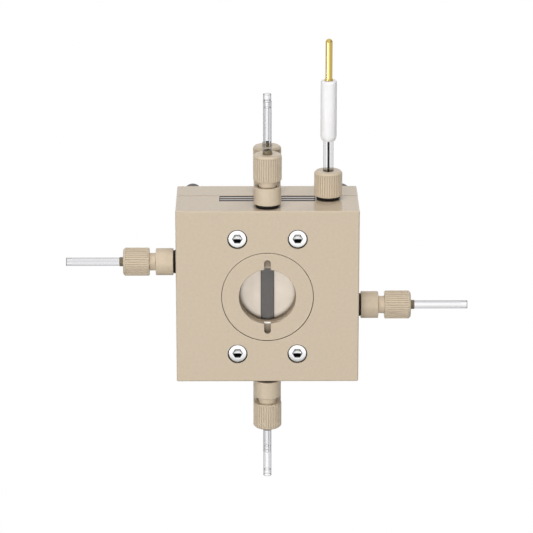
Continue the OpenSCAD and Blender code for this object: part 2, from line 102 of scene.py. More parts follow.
class Wiring:
    """A node tree and the coordinates that its textures read."""

    def __init__(self, tree, coordinates):
        self.tree = tree
        self.place = self.node("ShaderNodeTexCoord").outputs[coordinates]

    def wire(self, node, sockets):
        """Set sockets by name or number; a value that is itself a socket is linked."""
        for name, value in sockets.items():
            socket = node.inputs[name.replace("_", " ") if isinstance(name, str) else name]
            if isinstance(value, bpy.types.NodeSocket):
                self.tree.links.new(value, socket)
            else:
                socket.default_value = value

    def node(self, kind, settings=None, **sockets):
        made = self.tree.nodes.new(kind)
        for name, value in (settings or {}).items():
            setattr(made, name, value)
        self.wire(made, sockets)
        return made

    def calculate(self, operation, first, second=0.0):
        """One arithmetic step on two values."""
        step = self.node("ShaderNodeMath", {"operation": operation})
        self.wire(step, {0: first, 1: second})
        return step.outputs["Value"]

    def stretched(self, scale):
        """The coordinates, scaled by a different number along each axis."""
        return self.node("ShaderNodeMapping", Vector=self.place, Scale=scale).outputs["Vector"]

    def distance(self, axes):
        """The distance from the origin, counting only the axes that are 1."""
        length = self.node("ShaderNodeVectorMath", {"operation": "LENGTH"})
        self.wire(length, {0: self.stretched(axes)})
        return length.outputs["Value"]

    def along(self, axis):
        """The coordinate along one axis."""
        return self.node("ShaderNodeSeparateXYZ", Vector=self.place).outputs[axis]

    def cloud(self, scale, detail=3.0, place=None):
        """A soft random value from 0 to 1, with this many blobs to a metre."""
        noise = self.node("ShaderNodeTexNoise", Vector=place or self.place, Scale=scale, Detail=detail)
        return noise.outputs["Fac"]

    def between(self, value, low, high, start=NOISE_LOW, end=NOISE_HIGH):
        """Spread a value that runs from start to end out between two numbers."""
        spread = self.node("ShaderNodeMapRange", Value=value, From_Min=start, From_Max=end,
                           To_Min=low, To_Max=high)
        return spread.outputs["Result"]

    def tint(self, value, first, last, start=NOISE_LOW, end=NOISE_HIGH):
        """A colour that runs from first to last as the value rises from start to end."""
        ramp = self.node("ShaderNodeValToRGB", Fac=value)
        for stop, place, colour in zip(ramp.color_ramp.elements, (start, end), (first, last)):
            stop.position = place
            stop.color = colour
        return ramp.outputs["Color"]

    def blend(self, amount, first, last):
        """One colour, covered by another as the amount rises to 1."""
        mix = self.node("ShaderNodeMix", {"data_type": "RGBA"})
        self.wire(mix, {MIX_AMOUNT: amount, MIX_FIRST: first, MIX_LAST: last})
        return mix.outputs[MIX_RESULT]

    def band(self, value, start, end, fade):
        """1 between two values and 0 outside them, with a short fade at both ends."""
        rise = self.between(value, 0.0, 1.0, start - fade, start)
        return self.calculate("MULTIPLY", rise, self.between(value, 1.0, 0.0, end, end + fade))

    def shown_by(self, kind):
        """1 for what a reflection or a clear piece shows, but 0 for light on its way to a dull surface."""
        rays = self.node("ShaderNodeLightPath").outputs
        direct = self.calculate("LESS_THAN", rays["Diffuse Depth"], 0.5)
        return self.calculate("MULTIPLY", rays[kind], direct)

    def in_view(self):
        """1 for what the camera sees, directly or through a clear piece."""
        seen = self.node("ShaderNodeLightPath").outputs["Is Camera Ray"]
        return self.calculate("MAXIMUM", seen, self.shown_by("Is Transmission Ray"))

    def shown(self, amount, first, last, output):
        """Send one shader to the output, or another where the amount is 1."""
        mix = self.node("ShaderNodeMixShader")
        self.wire(mix, {0: amount, 1: first, 2: last})
        self.tree.links.new(mix.outputs["Shader"], self.tree.nodes[output].inputs["Surface"])


print("wiring can make:", ", ".join(name for name in vars(Wiring) if not name.startswith("_")))

# %% [markdown]
# ## Short ways to make a finish
# A finish is one material: a shader and the texture nodes that feed it. Textures read object
# coordinates, which stay with a piece as it moves. Pale edges, partly wear and partly painted
# highlight, and painted shade in corners follow the shape, so two helpers ask the renderer for it:
# one feels for a nearby edge, and the other for how shut in a point is.

# %% Make finishes
CREVICE_SAMPLES = 8
CREVICE_SHUT = 0.1
EDGE_SAMPLES = 6
EDGE_MATCH = (0.8, 0.99)


class Finish(Wiring):
    """One surface finish: a material, its shader and the nodes that feed the shader."""

    def __init__(self, name, **sockets):
        self.material = bpy.data.materials.new(name)
        self.material.use_nodes = True
        super().__init__(self.material.node_tree, "Object")
        self.shader = self.tree.nodes["Principled BSDF"]
        self.look(**sockets)

    def look(self, **sockets):
        self.wire(self.shader, sockets)

    def raised(self, height, distance, normal=None):
        """A normal that follows a height texture, whose full rise is distance in metres."""
        bump = self.node("ShaderNodeBump", Height=height, Distance=distance)
        if normal:
            self.wire(bump, {"Normal": normal})
        return bump.outputs["Normal"]

    def crevice_shade(self, reach, ground):
        """Painted shade: a value that is 1 deep in a corner or a gap, and 0 where the open share is more
        than ground.
        """
        nearby = self.node("ShaderNodeAmbientOcclusion", {"samples": CREVICE_SAMPLES}, Distance=reach)
        return self.between(nearby.outputs["AO"], 1.0, 0.0, CREVICE_SHUT, ground)

    def wear_and_highlight_edge(self, radius):
        """The rounded normal near an edge, and a value that is 1 on the edge and 0 on the flat, for paler
        edges that are partly wear and partly painted highlight.
        """
        rounded = self.node("ShaderNodeBevel", {"samples": EDGE_SAMPLES}, Radius=radius).outputs["Normal"]
        match = self.node("ShaderNodeVectorMath", {"operation": "DOT_PRODUCT"})
        self.wire(match, {0: rounded, 1: self.node("ShaderNodeNewGeometry").outputs["Normal"]})
        return rounded, self.between(match.outputs["Value"], 1.0, 0.0, *EDGE_MATCH)


def srgb(red, green, blue):
    """A screen colour, 0 to 255, as the linear colour that shaders take."""
    def linear(level):
        level /= 255
        return level / 12.92 if level <= 0.04045 else ((level + 0.055) / 1.055) ** 2.4
    return (linear(red), linear(green), linear(blue), 1.0)


print("mid grey on screen is", round(srgb(128, 128, 128)[0], 3), "as light")

# %% [markdown]
# ## The sky
# The picture has the cell on pure white. A plain white sky would give that too, but it would also
# flood the cell with light and fill every reflection with white. So the nodes ask what kind of ray
# has come. The camera sees white, also through clear pieces. Gloss sees a photographer's tent, white
# in front and behind and greyer at both sides. Dull surfaces get a weak, even light.

# %% Hang the sky
SKY_LIGHT = 0.3
LEFT_LEVEL = 0.75
LEFT_REACH = (-0.9, -0.4)
RIGHT_LEVEL = 0.45
RIGHT_REACH = (0.3, 0.8)

world = bpy.data.worlds.new("studio")
scene.world = world
world.use_nodes = True
sky = Wiring(world.node_tree, "Generated")
plain_sky = sky.tree.nodes["Background"]
sky.wire(plain_sky, {"Color": srgb(255, 254, 252), "Strength": SKY_LIGHT})
sideways = sky.along("X")
tent_left = sky.between(sideways, LEFT_LEVEL, 1.0, *LEFT_REACH)
tent_right = sky.between(sideways, 1.0, RIGHT_LEVEL, *RIGHT_REACH)
in_gloss = sky.shown_by("Is Glossy Ray")
in_view = sky.in_view()
gloss_level = sky.calculate("MULTIPLY", in_gloss, sky.calculate("MULTIPLY", tent_left, tent_right))
tent = sky.node("ShaderNodeBackground", Color=srgb(255, 255, 255),
                Strength=sky.calculate("MAXIMUM", in_view, gloss_level))
sky.shown(sky.calculate("MAXIMUM", in_view, in_gloss),
          plain_sky.outputs["Background"], tent.outputs["Background"], "World Output")
print("sky: light", SKY_LIGHT, "sides", LEFT_LEVEL, RIGHT_LEVEL)

# %% [markdown]
# ## The floor
# No ground shadow lies near the cell in the picture. The floor is therefore far below and very large,
# and the camera sees it as white as the sky. Light bounces off it as off grey paper. Gloss sees it
# bright all round, though not right below the cell and less at both sides. A card in front on the
# left is brighter still, and draws the streak down the polished pin.

# %% Lay the floor
FLOOR_DROP = 0.7
FLOOR_REACH = 12.0
PAPER_SCALE = 40.0
UNDER_REACH = (1.2, 2.0)
CARD_REACH = (0.9, 2.2)
CARD_LEVELS = (1.1, 0.6)
STREAK_REACH = (-2.65, -1.55, 0.1)
STREAK_DEPTH = (-1.2, -0.8)
STREAK_DISTANCE = (3.0, 3.7, 0.1)
STREAK_LEVEL = 9.0

floor_mesh = bpy.data.meshes.new("floor")
floor_mesh.from_pydata([(x * FLOOR_REACH, y * FLOOR_REACH, -FLOOR_DROP)
                        for x, y in ((-1, -1), (1, -1), (1, 1), (-1, 1))], [], [(0, 1, 2, 3)])
floor = bpy.data.objects.new("floor", floor_mesh)
scene.collection.objects.link(floor)
floor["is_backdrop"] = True

paper = Finish("floor_paper", Roughness=0.9)
paper.look(Base_Color=paper.tint(paper.cloud(PAPER_SCALE), srgb(168, 168, 167), srgb(182, 182, 181)))
away = paper.between(paper.distance((1, 1, 0)), 0.0, 1.0, *UNDER_REACH)
aside = paper.distance((1, 0, 0))
in_front = paper.between(paper.along("Y"), 1.0, 0.0, *STREAK_DEPTH)
streak = paper.calculate("MULTIPLY", in_front, paper.band(paper.along("X"), *STREAK_REACH))
streak = paper.calculate("MULTIPLY", streak, paper.band(paper.distance((1, 1, 0)), *STREAK_DISTANCE))
card = paper.calculate("ADD", paper.between(aside, *CARD_LEVELS, *CARD_REACH),
                       paper.calculate("MULTIPLY", streak, STREAK_LEVEL))
card = paper.calculate("MULTIPLY", card, paper.shown_by("Is Glossy Ray"))
lift = paper.node("ShaderNodeEmission", Strength=paper.calculate("MULTIPLY", away, card))
glow = paper.node("ShaderNodeAddShader")
paper.wire(glow, {0: paper.shader.outputs["BSDF"], 1: lift.outputs["Emission"]})
white = paper.node("ShaderNodeEmission", Strength=1.0)
paper.shown(paper.in_view(), glow.outputs["Shader"], white.outputs["Emission"], "Material Output")
floor_mesh.materials.append(paper.material)
print("floor", FLOOR_DROP, "m below the middle of the block")

# %% [markdown]
# ## Lamps
# Three soft lamps do what the picture's light does. A large one beside the camera lights fronts and
# leaves the walls of the window's recess dark, a weaker one on the left lets the right-hand flanks
# of the round pieces fall off, and one overhead keeps the top as light as the front. A fourth, which
# the picture doesn't need, shows the back to whoever turns the cell round. All of them stay out of
# reflections, as lamps behind white cloth would. A lamp's softness is its size over its distance, so
# softer takes larger, not weaker.

# %% Hang the lamps
def hang_lamp(name, turn, height, distance, size, power):
    """A square lamp that faces the middle of the block, placed by its angles from the window's axis."""
    turn, height = math.radians(turn), math.radians(height)
    level = math.cos(height)
    away = Vector((math.sin(turn) * level, -math.cos(turn) * level, math.sin(height)))
    lamp_data = bpy.data.lights.new(name, "AREA")
    lamp_data.size = size
    lamp_data.energy = power
    lamp = bpy.data.objects.new(name, lamp_data)
    lamp.location = away * distance
    lamp.rotation_euler = away.to_track_quat("Z", "Y").to_euler()
    lamp.visible_glossy = lamp.visible_transmission = False
    scene.collection.objects.link(lamp)
    print(name, "at", [round(x, 2) for x in lamp.location])


hang_lamp("front_lamp", turn=-4, height=3, distance=1.1, size=0.4, power=7.2)
hang_lamp("left_lamp", turn=-36, height=24, distance=1.3, size=0.4, power=2.4)
hang_lamp("top_lamp", turn=-4, height=80, distance=1.3, size=0.5, power=5.8)
hang_lamp("back_lamp", turn=160, height=14, distance=1.3, size=0.5, power=8.0)

# %% [markdown]
# ## Machined beige plastic
# The plates, the fittings and the nuts are cut from one beige engineering plastic. Milling leaves
# faint streaks that run along the cut, turning leaves fine rings, and edges come out a touch paler,
# partly where the tool and later handling have worn them and partly as a painted highlight. One
# recipe serves for both: the grain is a random texture squeezed along one axis, across the streaks.
# On the plates that is Y, so their edges show streaks and their faces none, and on turned pieces it
# is Z, which gives rings. Corners and gaps get painted shade, darkest in the window ring's slots,
# and the seam between the plates is drawn as a thin dark line. On the window ring the inner lips of
# both slots carry a painted glint, strongest on the lower slot.

# %% The plastic
EDGE_WEAR_AND_HIGHLIGHT = 0.16 * MM
MOTTLE_SCALE = 900.0
FINE_SCALE = 5200.0
FINE_DETAIL = 2.0
PLASTIC_DETAIL = 4.0
SEAM_DIRT = (0.08 * MM, 0.26 * MM)
LIP_WIDTH = 0.45 * MM
LIP_FADE = 0.15 * MM
LIP_STRENGTHS = (1.0, 0.12)
BORE_SHADE = 0.2
SLOT_REACH = (1.2 * MM, 1.4 * MM)
# Colour of painted shade in corners, and of the seam's dark line.
shade_and_seam_colour = srgb(84, 72, 57)
# Colour of the painted glint on the slots' lips.
painted_glint_colour = srgb(255, 252, 244)


def plastic_finish(name, colours, grain, roughness, rise, corner, seam=None, lip=None):
    """Machined plastic; seam is the Y of a joint drawn as a thin dark line, lip the radius of a rim with a
    painted glint in the slots.
    """
    dark, pale, edge = colours
    finish = Finish(name, IOR=1.55, Specular_IOR_Level=0.32)
    streaks = finish.cloud(1.0, PLASTIC_DETAIL, finish.stretched(grain))
    # Paler edges: partly wear, partly a painted highlight.
    rounded, wear_and_highlight = finish.wear_and_highlight_edge(EDGE_WEAR_AND_HIGHLIGHT)
    mottle = finish.tint(finish.cloud(MOTTLE_SCALE, PLASTIC_DETAIL), dark, pale)
    colour = finish.blend(wear_and_highlight, mottle, edge)
    # Painted shade in corners, gaps and slots, weaker on the window's bore outside the slots.
    painted_shade = finish.crevice_shade(*corner)
    if lip is not None:
        in_slot = finish.between(finish.distance((1, 0, 0)), 1.0, 0.0, *SLOT_REACH)
        painted_shade = finish.calculate("MULTIPLY", painted_shade, finish.calculate("MAXIMUM", in_slot, BORE_SHADE))
    colour = finish.blend(painted_shade, colour, shade_and_seam_colour)
    # A painted glint on the inner lips of both slots, strongest on the lower one.
    if lip is not None:
        on_lip = finish.band(finish.distance((1, 0, 1)), lip, lip + LIP_WIDTH, LIP_FADE)
        lower = finish.between(finish.along("Z"), *LIP_STRENGTHS, 0.0, MM)
        painted_glint = finish.calculate("MULTIPLY", finish.calculate("MULTIPLY", on_lip, in_slot), lower)
        colour = finish.blend(painted_glint, colour, painted_glint_colour)
    if seam is not None:
        from_seam = finish.calculate("ABSOLUTE", finish.calculate("SUBTRACT", finish.along("Y"), seam))
        colour = finish.blend(finish.between(from_seam, 1.0, 0.0, *SEAM_DIRT), colour, shade_and_seam_colour)
    normal = finish.raised(streaks, rise, rounded)
    finish.look(Base_Color=colour, Roughness=finish.between(streaks, *roughness),
                Normal=finish.raised(finish.cloud(FINE_SCALE, FINE_DETAIL), rise / 2, normal))
    return finish.material


WINDOW_RADIUS = 10.9 * MM
MILLED = (60.0, 2600.0, 60.0)
TURNED = (30.0, 30.0, 7000.0)
milled_beige = (srgb(200, 184, 162), srgb(205, 189, 167), srgb(212, 199, 180))
turned_beige = (srgb(205, 189, 166), srgb(211, 195, 172), srgb(224, 210, 190))
plate_plastic = plastic_finish("plate_plastic", milled_beige, MILLED, roughness=(0.08, 0.2),
                               rise=0.002 * MM, corner=(2.5 * MM, 0.75), seam=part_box("back_plate")[0].y)
ring_plastic = plastic_finish("ring_plastic", milled_beige, MILLED, roughness=(0.08, 0.2),
                              rise=0.002 * MM, corner=(4.0 * MM, 0.95), lip=WINDOW_RADIUS)
turned_plastic = plastic_finish("turned_plastic", turned_beige, TURNED, roughness=(0.25, 0.37),
                                rise=0.003 * MM, corner=(0.8 * MM, 0.6))
print("plastics:", plate_plastic.name, ring_plastic.name, turned_plastic.name)

# %% [markdown]
# ## Rubber, carbon and white plastics
# O-rings are black with a faint dusty bloom. The gasket sheets are a grey-black fibre rubber. The
# strip is carbon paper, felted fibres that catch the light in all directions, with painted shade along
# its long edges. The disc behind it and the electrode's cap are waxy white plastics: the cap lets a
# little light into its surface, and the disc has painted shade towards its rim, where the ring's wall
# shades it. The fine grain of a dull surface tells what it is, so one recipe serves for all of them,
# and for the membrane, the ferrules and the wire too: a random texture drives the colour, the
# roughness and the height together, and painted shade can darken the colour towards the edges.

# %% Dull finishes
DULL_DETAIL = 5.0
DULL_SPREAD = 0.08
RIM_FALL = 2.0
EVEN = (1.0, 1.0, 1.0)


def dull_finish(name, dark, pale, scale, roughness, rise, grain=EVEN, rim=None, **sockets):
    """A matt finish; rim gives the axes, start, end and colour of painted shade towards a piece's edges.
    """
    finish = Finish(name, **sockets)
    texture = finish.cloud(scale, DULL_DETAIL, finish.stretched(grain))
    colour = finish.tint(texture, dark, pale)
    # Painted shade that darkens the colour towards the piece's edges.
    if rim is not None:
        axes, start, end, shade = rim
        outward = finish.between(finish.distance(axes), 0.0, 1.0, start, end)
        colour = finish.blend(finish.calculate("POWER", outward, RIM_FALL), colour, shade)
    finish.look(Base_Color=colour, Normal=finish.raised(texture, rise),
                Roughness=finish.between(texture, roughness - DULL_SPREAD, roughness + DULL_SPREAD))
    return finish.material


black_rubber = dull_finish("black_rubber", srgb(16, 14, 13), srgb(34, 31, 29), scale=900.0,
                           roughness=0.5, rise=0.01 * MM, Specular_IOR_Level=0.3)
gasket_sheet = dull_finish("gasket_sheet", srgb(58, 52, 54), srgb(84, 76, 78), scale=2600.0,
                           roughness=0.75, rise=0.02 * MM, Specular_IOR_Level=0.1)
# The strip has painted shade along its long edges.
carbon_paper = dull_finish("carbon_paper", srgb(70, 66, 64), srgb(90, 86, 83), scale=3400.0,
                           roughness=0.7, rise=0.02 * MM, grain=(1.0, 1.0, 0.35), Specular_IOR_Level=0.2,
                           rim=((1, 0, 0), 2.1 * MM, 2.35 * MM, srgb(52, 46, 40)))
# The disc has painted shade towards its rim, where the ring's wall shades it.
waxy_disc = dull_finish("waxy_disc", srgb(228, 215, 199), srgb(236, 224, 209), scale=260.0,
                        roughness=0.42, rise=0.004 * MM,
                        rim=((1, 0, 1), 9.0 * MM, 11.2 * MM, srgb(160, 144, 126)))
brown_seal = dull_finish("brown_seal", srgb(132, 117, 98), srgb(154, 139, 120), scale=1500.0,
                         roughness=0.6, rise=0.01 * MM, Specular_IOR_Level=0.2)
white_cap = dull_finish("white_cap", srgb(251, 250, 252), srgb(254, 253, 255), scale=300.0,
                        roughness=0.38, rise=0.004 * MM, Subsurface_Weight=0.4,
                        Subsurface_Scale=2.0 * MM, Subsurface_Radius=EVEN)
amber_film = dull_finish("amber_film", srgb(222, 200, 150), srgb(236, 218, 176), scale=500.0,
                         roughness=0.3, rise=0.003 * MM)
olive_sleeve = dull_finish("olive_sleeve", srgb(98, 87, 66), srgb(128, 115, 90), scale=1200.0,
                           roughness=0.22, rise=0.004 * MM, grain=(1.0, 1.0, 4.0))
dark_coating = dull_finish("dark_coating", srgb(14, 13, 13), srgb(34, 32, 31), scale=2400.0,
                           roughness=0.55, rise=0.01 * MM)
print("dull finishes:", black_rubber.name, gasket_sheet.name, carbon_paper.name)

# %% [markdown]
# ## Metals
# A turned or brushed metal shows its tool marks more than its colour. Rings on the pin are noise
# flattened along Z, as on the plastics, and the sheets are brushed upwards. The screws' sockets
# carry painted shade: dark in their lower half and in a thin line round the mouth, and lighter in
# their upper half, where light would fall. The finish tells the socket from the rest of the head by
# how near it is to the screw's axis and how far below the top.

# %% Metal finishes
SOCKET_REACH = (2.2 * MM, 2.3 * MM)
SOCKET_TOP = (0.22 * MM, 0.27 * MM)
SOCKET_SHADE = (-0.75 * MM, -0.55 * MM)
SOCKET_LEAST_SHADE = 0.15
SOCKET_LINE = (0.03 * MM, 0.27 * MM, 0.01 * MM)
SOCKET_LINE_SHADE = 0.8


def metal_finish(name, dark, pale, grain, roughness, rise, socket=None):
    """Bare or plated metal with tool marks; socket is the colour of the painted shade inside a screw's
    hexagon.
    """
    finish = Finish(name, Metallic=1.0)
    marks = finish.cloud(1.0, place=finish.stretched(grain))
    colour = finish.tint(marks, dark, pale)
    if socket is not None:
        # Painted shade in the socket: dark in its lower half and in a thin line round its mouth, lighter
        # in its upper half.
        near = finish.between(finish.distance((1, 1, 0)), 1.0, 0.0, *SOCKET_REACH)
        below = finish.between(finish.along("Z"), 0.0, 1.0, *SOCKET_TOP)
        shade = finish.between(finish.along("X"), 1.0, SOCKET_LEAST_SHADE, *SOCKET_SHADE)
        line = finish.band(finish.along("Z"), *SOCKET_LINE)
        line = finish.calculate("MULTIPLY", line, SOCKET_LINE_SHADE)
        depth = finish.calculate("MAXIMUM", finish.calculate("MULTIPLY", below, shade), line)
        colour = finish.blend(finish.calculate("MULTIPLY", near, depth), colour, socket)
    finish.look(Base_Color=colour, Roughness=finish.between(marks, *roughness),
                Normal=finish.raised(marks, rise))
    return finish.material


bright_steel = metal_finish("bright_steel", srgb(240, 240, 241), srgb(251, 251, 251),
                            grain=(900.0, 900.0, 5000.0), roughness=(0.16, 0.26), rise=0.0006 * MM,
                            socket=srgb(12, 12, 14))
black_steel = metal_finish("black_steel", srgb(62, 58, 57), srgb(84, 80, 78),
                           grain=(1500.0, 1500.0, 1500.0), roughness=(0.32, 0.42), rise=0.003 * MM,
                           socket=srgb(12, 12, 13))
grey_sheet = metal_finish("grey_sheet", srgb(158, 155, 154), srgb(184, 181, 180),
                          grain=(4000.0, 4000.0, 60.0), roughness=(0.3, 0.4), rise=0.002 * MM)
gold_plate = metal_finish("gold_plate", srgb(212, 185, 108), srgb(219, 194, 122),
                          grain=(40.0, 40.0, 6000.0), roughness=(0.06, 0.16), rise=0.0003 * MM)
print("metals:", bright_steel.name, black_steel.name, grey_sheet.name, gold_plate.name)

# %% [markdown]
# ## Clear pieces
# On white, clear tube shows by its edges alone: there the light has the longest way through the
# wall and is bent furthest aside. True bending through such thin walls is finer than a picture's
# dots and comes out as speckle, so the tubes and the stem hardly bend light at all, and a tint that
# deepens towards the edge draws the outlines instead, from every side. Faint streaks run along them,
# as drawing leaves them, and fine smears keep the surface from looking perfect. The pane bends light
# as glass does but has less gloss, since one that mirrored the white tent would veil the strip.

# %% Clear finishes
DRAWN = (520.0, 520.0, 4.0)
DRAWN_DETAIL = 1.0
DRAWN_EDGE = (0.46, 0.52)
EDGE_BAND = (0.1, 0.5)
SMEAR_SCALE = 220.0
SMEAR_ROUGHNESS = 0.012
HARDLY_BENT = 1.05
BENT_AS_GLASS = 1.45


def clear_finish(name, dark, pale, edge, ior=HARDLY_BENT, **sockets):
    """A clear finish: streaks from dark to pale, and the colour that its outline deepens to."""
    finish = Finish(name, Transmission_Weight=1.0, IOR=ior, **sockets)
    drawn = finish.cloud(1.0, DRAWN_DETAIL, finish.stretched(DRAWN))
    facing = finish.node("ShaderNodeLayerWeight", Blend=0.5).outputs["Facing"]
    outline = finish.between(facing, 0.0, 1.0, *EDGE_BAND)
    smears = finish.between(finish.cloud(SMEAR_SCALE), 0.0, SMEAR_ROUGHNESS)
    finish.look(Base_Color=finish.blend(outline, finish.tint(drawn, dark, pale, *DRAWN_EDGE), edge),
                Roughness=smears)
    return finish.material


clear_tube = clear_finish("clear_tube", srgb(230, 230, 232), srgb(255, 255, 255), srgb(184, 184, 187))
cut_end = clear_finish("cut_end", srgb(110, 110, 113), srgb(140, 140, 143), srgb(70, 70, 73))
stem_glass = clear_finish("stem_glass", srgb(236, 236, 237), srgb(255, 255, 255), srgb(196, 197, 199))
clear_bore = clear_finish("clear_bore", srgb(246, 246, 247), srgb(255, 255, 255), srgb(226, 226, 228))
window_pane = clear_finish("window_pane", srgb(253, 253, 252), srgb(255, 255, 255), srgb(228, 233, 231),
                           BENT_AS_GLASS, Specular_IOR_Level=0.12)
print("clear:", clear_tube.name, cut_end.name, stem_glass.name, clear_bore.name, window_pane.name)

# %% [markdown]
# ## Turned pieces
# Most of this cell came off a lathe, so most of it can be made the same way: an outline of radius
# and height, swung round an axis. A third number at a corner is its rounding. Corners as small as a
# third of a millimetre still matter, because they catch the light as a fine bright line.

# %% Outline to mesh
CORNER_STEPS = 4
ROUND_SIDES = 96
SHARP_ANGLE = math.radians(38)


def soften(outline):
    """Round the corners of an outline that give a rounding as their third number."""
    smooth = []
    for i, (radius, height, *rounding) in enumerate(outline):
        corner = Vector((radius, height))
        if not rounding:
            smooth.append(corner)
            continue
        before = Vector(outline[i - 1][:2]) - corner
        after = Vector(outline[(i + 1) % len(outline)][:2]) - corner
        reach = min(rounding[0], before.length / 2, after.length / 2)
        start = corner + before.normalized() * reach
        end = corner + after.normalized() * reach
        for step in range(CORNER_STEPS + 1):
            t = step / CORNER_STEPS
            smooth.append(start.lerp(corner, t).lerp(corner.lerp(end, t), t))
    return smooth


def plain_round(radius, height, angle):
    """The shape of a piece that is round all over."""
    return radius


def turned_mesh(name, outline, sides=ROUND_SIDES, shape=plain_round):
    """Swing an outline in millimetres round Z. An outline that starts on the axis is solid."""
    mesh = bmesh.new()
    rings = []
    for radius, height in soften(outline):
        ring = []
        for i in range(sides if radius else 1):
            angle = math.tau * i / sides
            reach = shape(radius, height, angle)
            point = Vector((reach * math.cos(angle), reach * math.sin(angle), height))
            ring.append(mesh.verts.new(point * MM))
        rings.append(ring)
    pairs = list(zip(rings, rings[1:]))
    if outline[0][0]:
        pairs.append((rings[-1], rings[0]))
    for lower, upper in pairs:
        for i in range(sides):
            j = (i + 1) % sides
            corners = (lower[i % len(lower)], lower[j % len(lower)],
                       upper[j % len(upper)], upper[i % len(upper)])
            mesh.faces.new(list(dict.fromkeys(corners)))
    bmesh.ops.recalc_face_normals(mesh, faces=mesh.faces)
    data = bpy.data.meshes.new(name)
    mesh.to_mesh(data)
    mesh.free()
    data.shade_smooth()
    data.set_sharp_from_angle(angle=SHARP_ANGLE)
    return data


print("corners take", CORNER_STEPS, "steps, and rounds", ROUND_SIDES, "sides")

# %% [markdown]
# ## In place of a solid
# A finer piece takes over from a solid. It rides on the solid's body, so it moves as the solid does,
# and the solid then hides. Weighted normals keep wide flat faces flat to the eye right up to their
# rounded edges, at no cost in points.

# %% Dress a solid
def dress(name, data, place, node, body, finish):
    """Show a finer piece in place of a solid, on the same body."""
    piece = bpy.data.objects.new(name, data)
    scene.collection.objects.link(piece)
    piece.matrix_world = place
    if not data.materials:
        data.materials.append(finish)
    piece.modifiers.new("even_shading", "WEIGHTED_NORMAL").keep_sharp = True
    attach(piece, body)
    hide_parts(node)
    return piece


# %% [markdown]
# ## Where the ports are
# A port's own frame has its origin on the block's face and Z pointing out of the block. Its axis is
# the middle of its tube's box, so nothing is measured twice. In that frame all six fittings are
# made by the same few lines.

# %% Port frames
block_low = Vector(map(min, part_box("front_plate")[0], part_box("back_plate")[0]))
block_high = Vector(map(max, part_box("front_plate")[1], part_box("back_plate")[1]))
LEFT, RIGHT = Vector((-1, 0, 0)), Vector((1, 0, 0))
DOWN, UP = Vector((0, 0, -1)), Vector((0, 0, 1))
OUTWARD = {
    "left": LEFT, "right": RIGHT,
    "top_front": UP, "top_rear": UP,
    "bottom_front": DOWN, "bottom_rear": DOWN,
}


def axis_frame(node, outward):
    """A frame on a solid's axis, with its origin on the block's face."""
    low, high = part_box(node)
    middle = (low + high) / 2
    face = max(outward.dot(block_low), outward.dot(block_high))
    origin = middle + outward * (face - outward.dot(middle))
    return Matrix.Translation(origin) @ outward.to_track_quat("Z", "Y").to_matrix().to_4x4()


def span(node, place):
    """A solid's lowest and highest point along a frame's Z, and its largest radius, in millimetres."""
    back = place.inverted()
    one, other = (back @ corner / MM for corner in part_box(node))
    return min(one.z, other.z), max(one.z, other.z), abs(one.x - other.x) / 2


PORTS = {port: axis_frame(f"{port}_tube", outward) for port, outward in OUTWARD.items()}
for port, place in PORTS.items():
    print(port, [round(x / MM, 2) for x in place.translation])

# %% [markdown]
# ## Ribs and threads
# A nut is gripped by straight ribs, and it moves a millimetre a turn on its thread. Both change the
# radius of a turned shape as the angle goes round, so both are small functions that the lathe asks
# at every point. Real geometry, rather than bump, keeps its outline against the white.

# %% Ribs and threads as shapes
RIB_COUNT = 36
RIB_STEPS = 10
RIB_POINTS = RIB_COUNT * RIB_STEPS
RIB_DEPTH = 0.3
CREST_SHARE = 0.27
FOOT_SHARE = 0.39
SMOOTH_BAND = 0.25
BAND_STEP = 0.02
LOWER_ROUNDINGS = (0.08, 0.1)
UPPER_ROUNDINGS = (0.15, 0.2)
THREAD_PITCH = 1.0
THREAD_DEPTH = 0.28
THREAD_STEP = THREAD_PITCH / 8
SAME_RADIUS = 0.01


def ribbed(crest, top, count=RIB_COUNT, depth=RIB_DEPTH):
    """Straight ribs up to a height: at most the crest's radius, and less by the depth in between."""
    def shape(radius, height, angle):
        if height > top:
            return radius
        turn = angle * count / math.tau % 1
        from_crest = min(turn, 1 - turn)
        fall = min(max((from_crest - CREST_SHARE) / (FOOT_SHARE - CREST_SHARE), 0), 1)
        return min(radius, crest - depth * fall * fall * (3 - 2 * fall))
    return shape


def threaded(start, end, radius_here):
    """A right-handed thread on the stretch of one radius between two heights."""
    def shape(radius, height, angle):
        if not start < height < end or abs(radius - radius_here) > SAME_RADIUS:
            return radius
        turn = (height / THREAD_PITCH - angle / math.tau) % 1
        return radius - THREAD_DEPTH * (1 - abs(2 * turn - 1))
    return shape


def stretch(radius, start, end, step=THREAD_STEP):
    """Rows of one radius, close enough together to carry a thread or a bend."""
    rows = math.ceil((end - start) / step)
    return [(radius, start + (end - start) * row / rows) for row in range(rows + 1)]


def both(first, second):
    """The smaller of two shapes."""
    def shape(radius, height, angle):
        return min(first(radius, height, angle), second(radius, height, angle))
    return shape


def ribbed_outline(crest, low, high, chamfer):
    """The outside of a ribbed head, with a small chamfer below and a larger one above."""
    band = high - chamfer - SMOOTH_BAND
    foot, side = LOWER_ROUNDINGS
    shoulder, rim = UPPER_ROUNDINGS
    return [
        (crest - chamfer / 2, low, foot), (crest, low + chamfer / 2, side),
        (crest, band - BAND_STEP), (crest, band + BAND_STEP),
        (crest, high - chamfer, shoulder), (crest - chamfer, high, rim),
    ]


print(RIB_COUNT, "ribs,", RIB_POINTS, "points round a nut")

# %% [markdown]
# ## Nuts
# The ribbed head ends in a clear chamfer outside and a small one inside. Below it a plain neck runs
# into the thread that pulls the ferrule down, which shows only when the nut is unscrewed.

# %% Turn the nuts
NUT_CHAMFER = 0.7
NECK_LENGTH = 4.4
NECK_RADIUS = 3.4
NECK_PLAIN = 2.5
NUT_BORE = 1.85
NUT_MOUTH_ROUNDING = 0.15

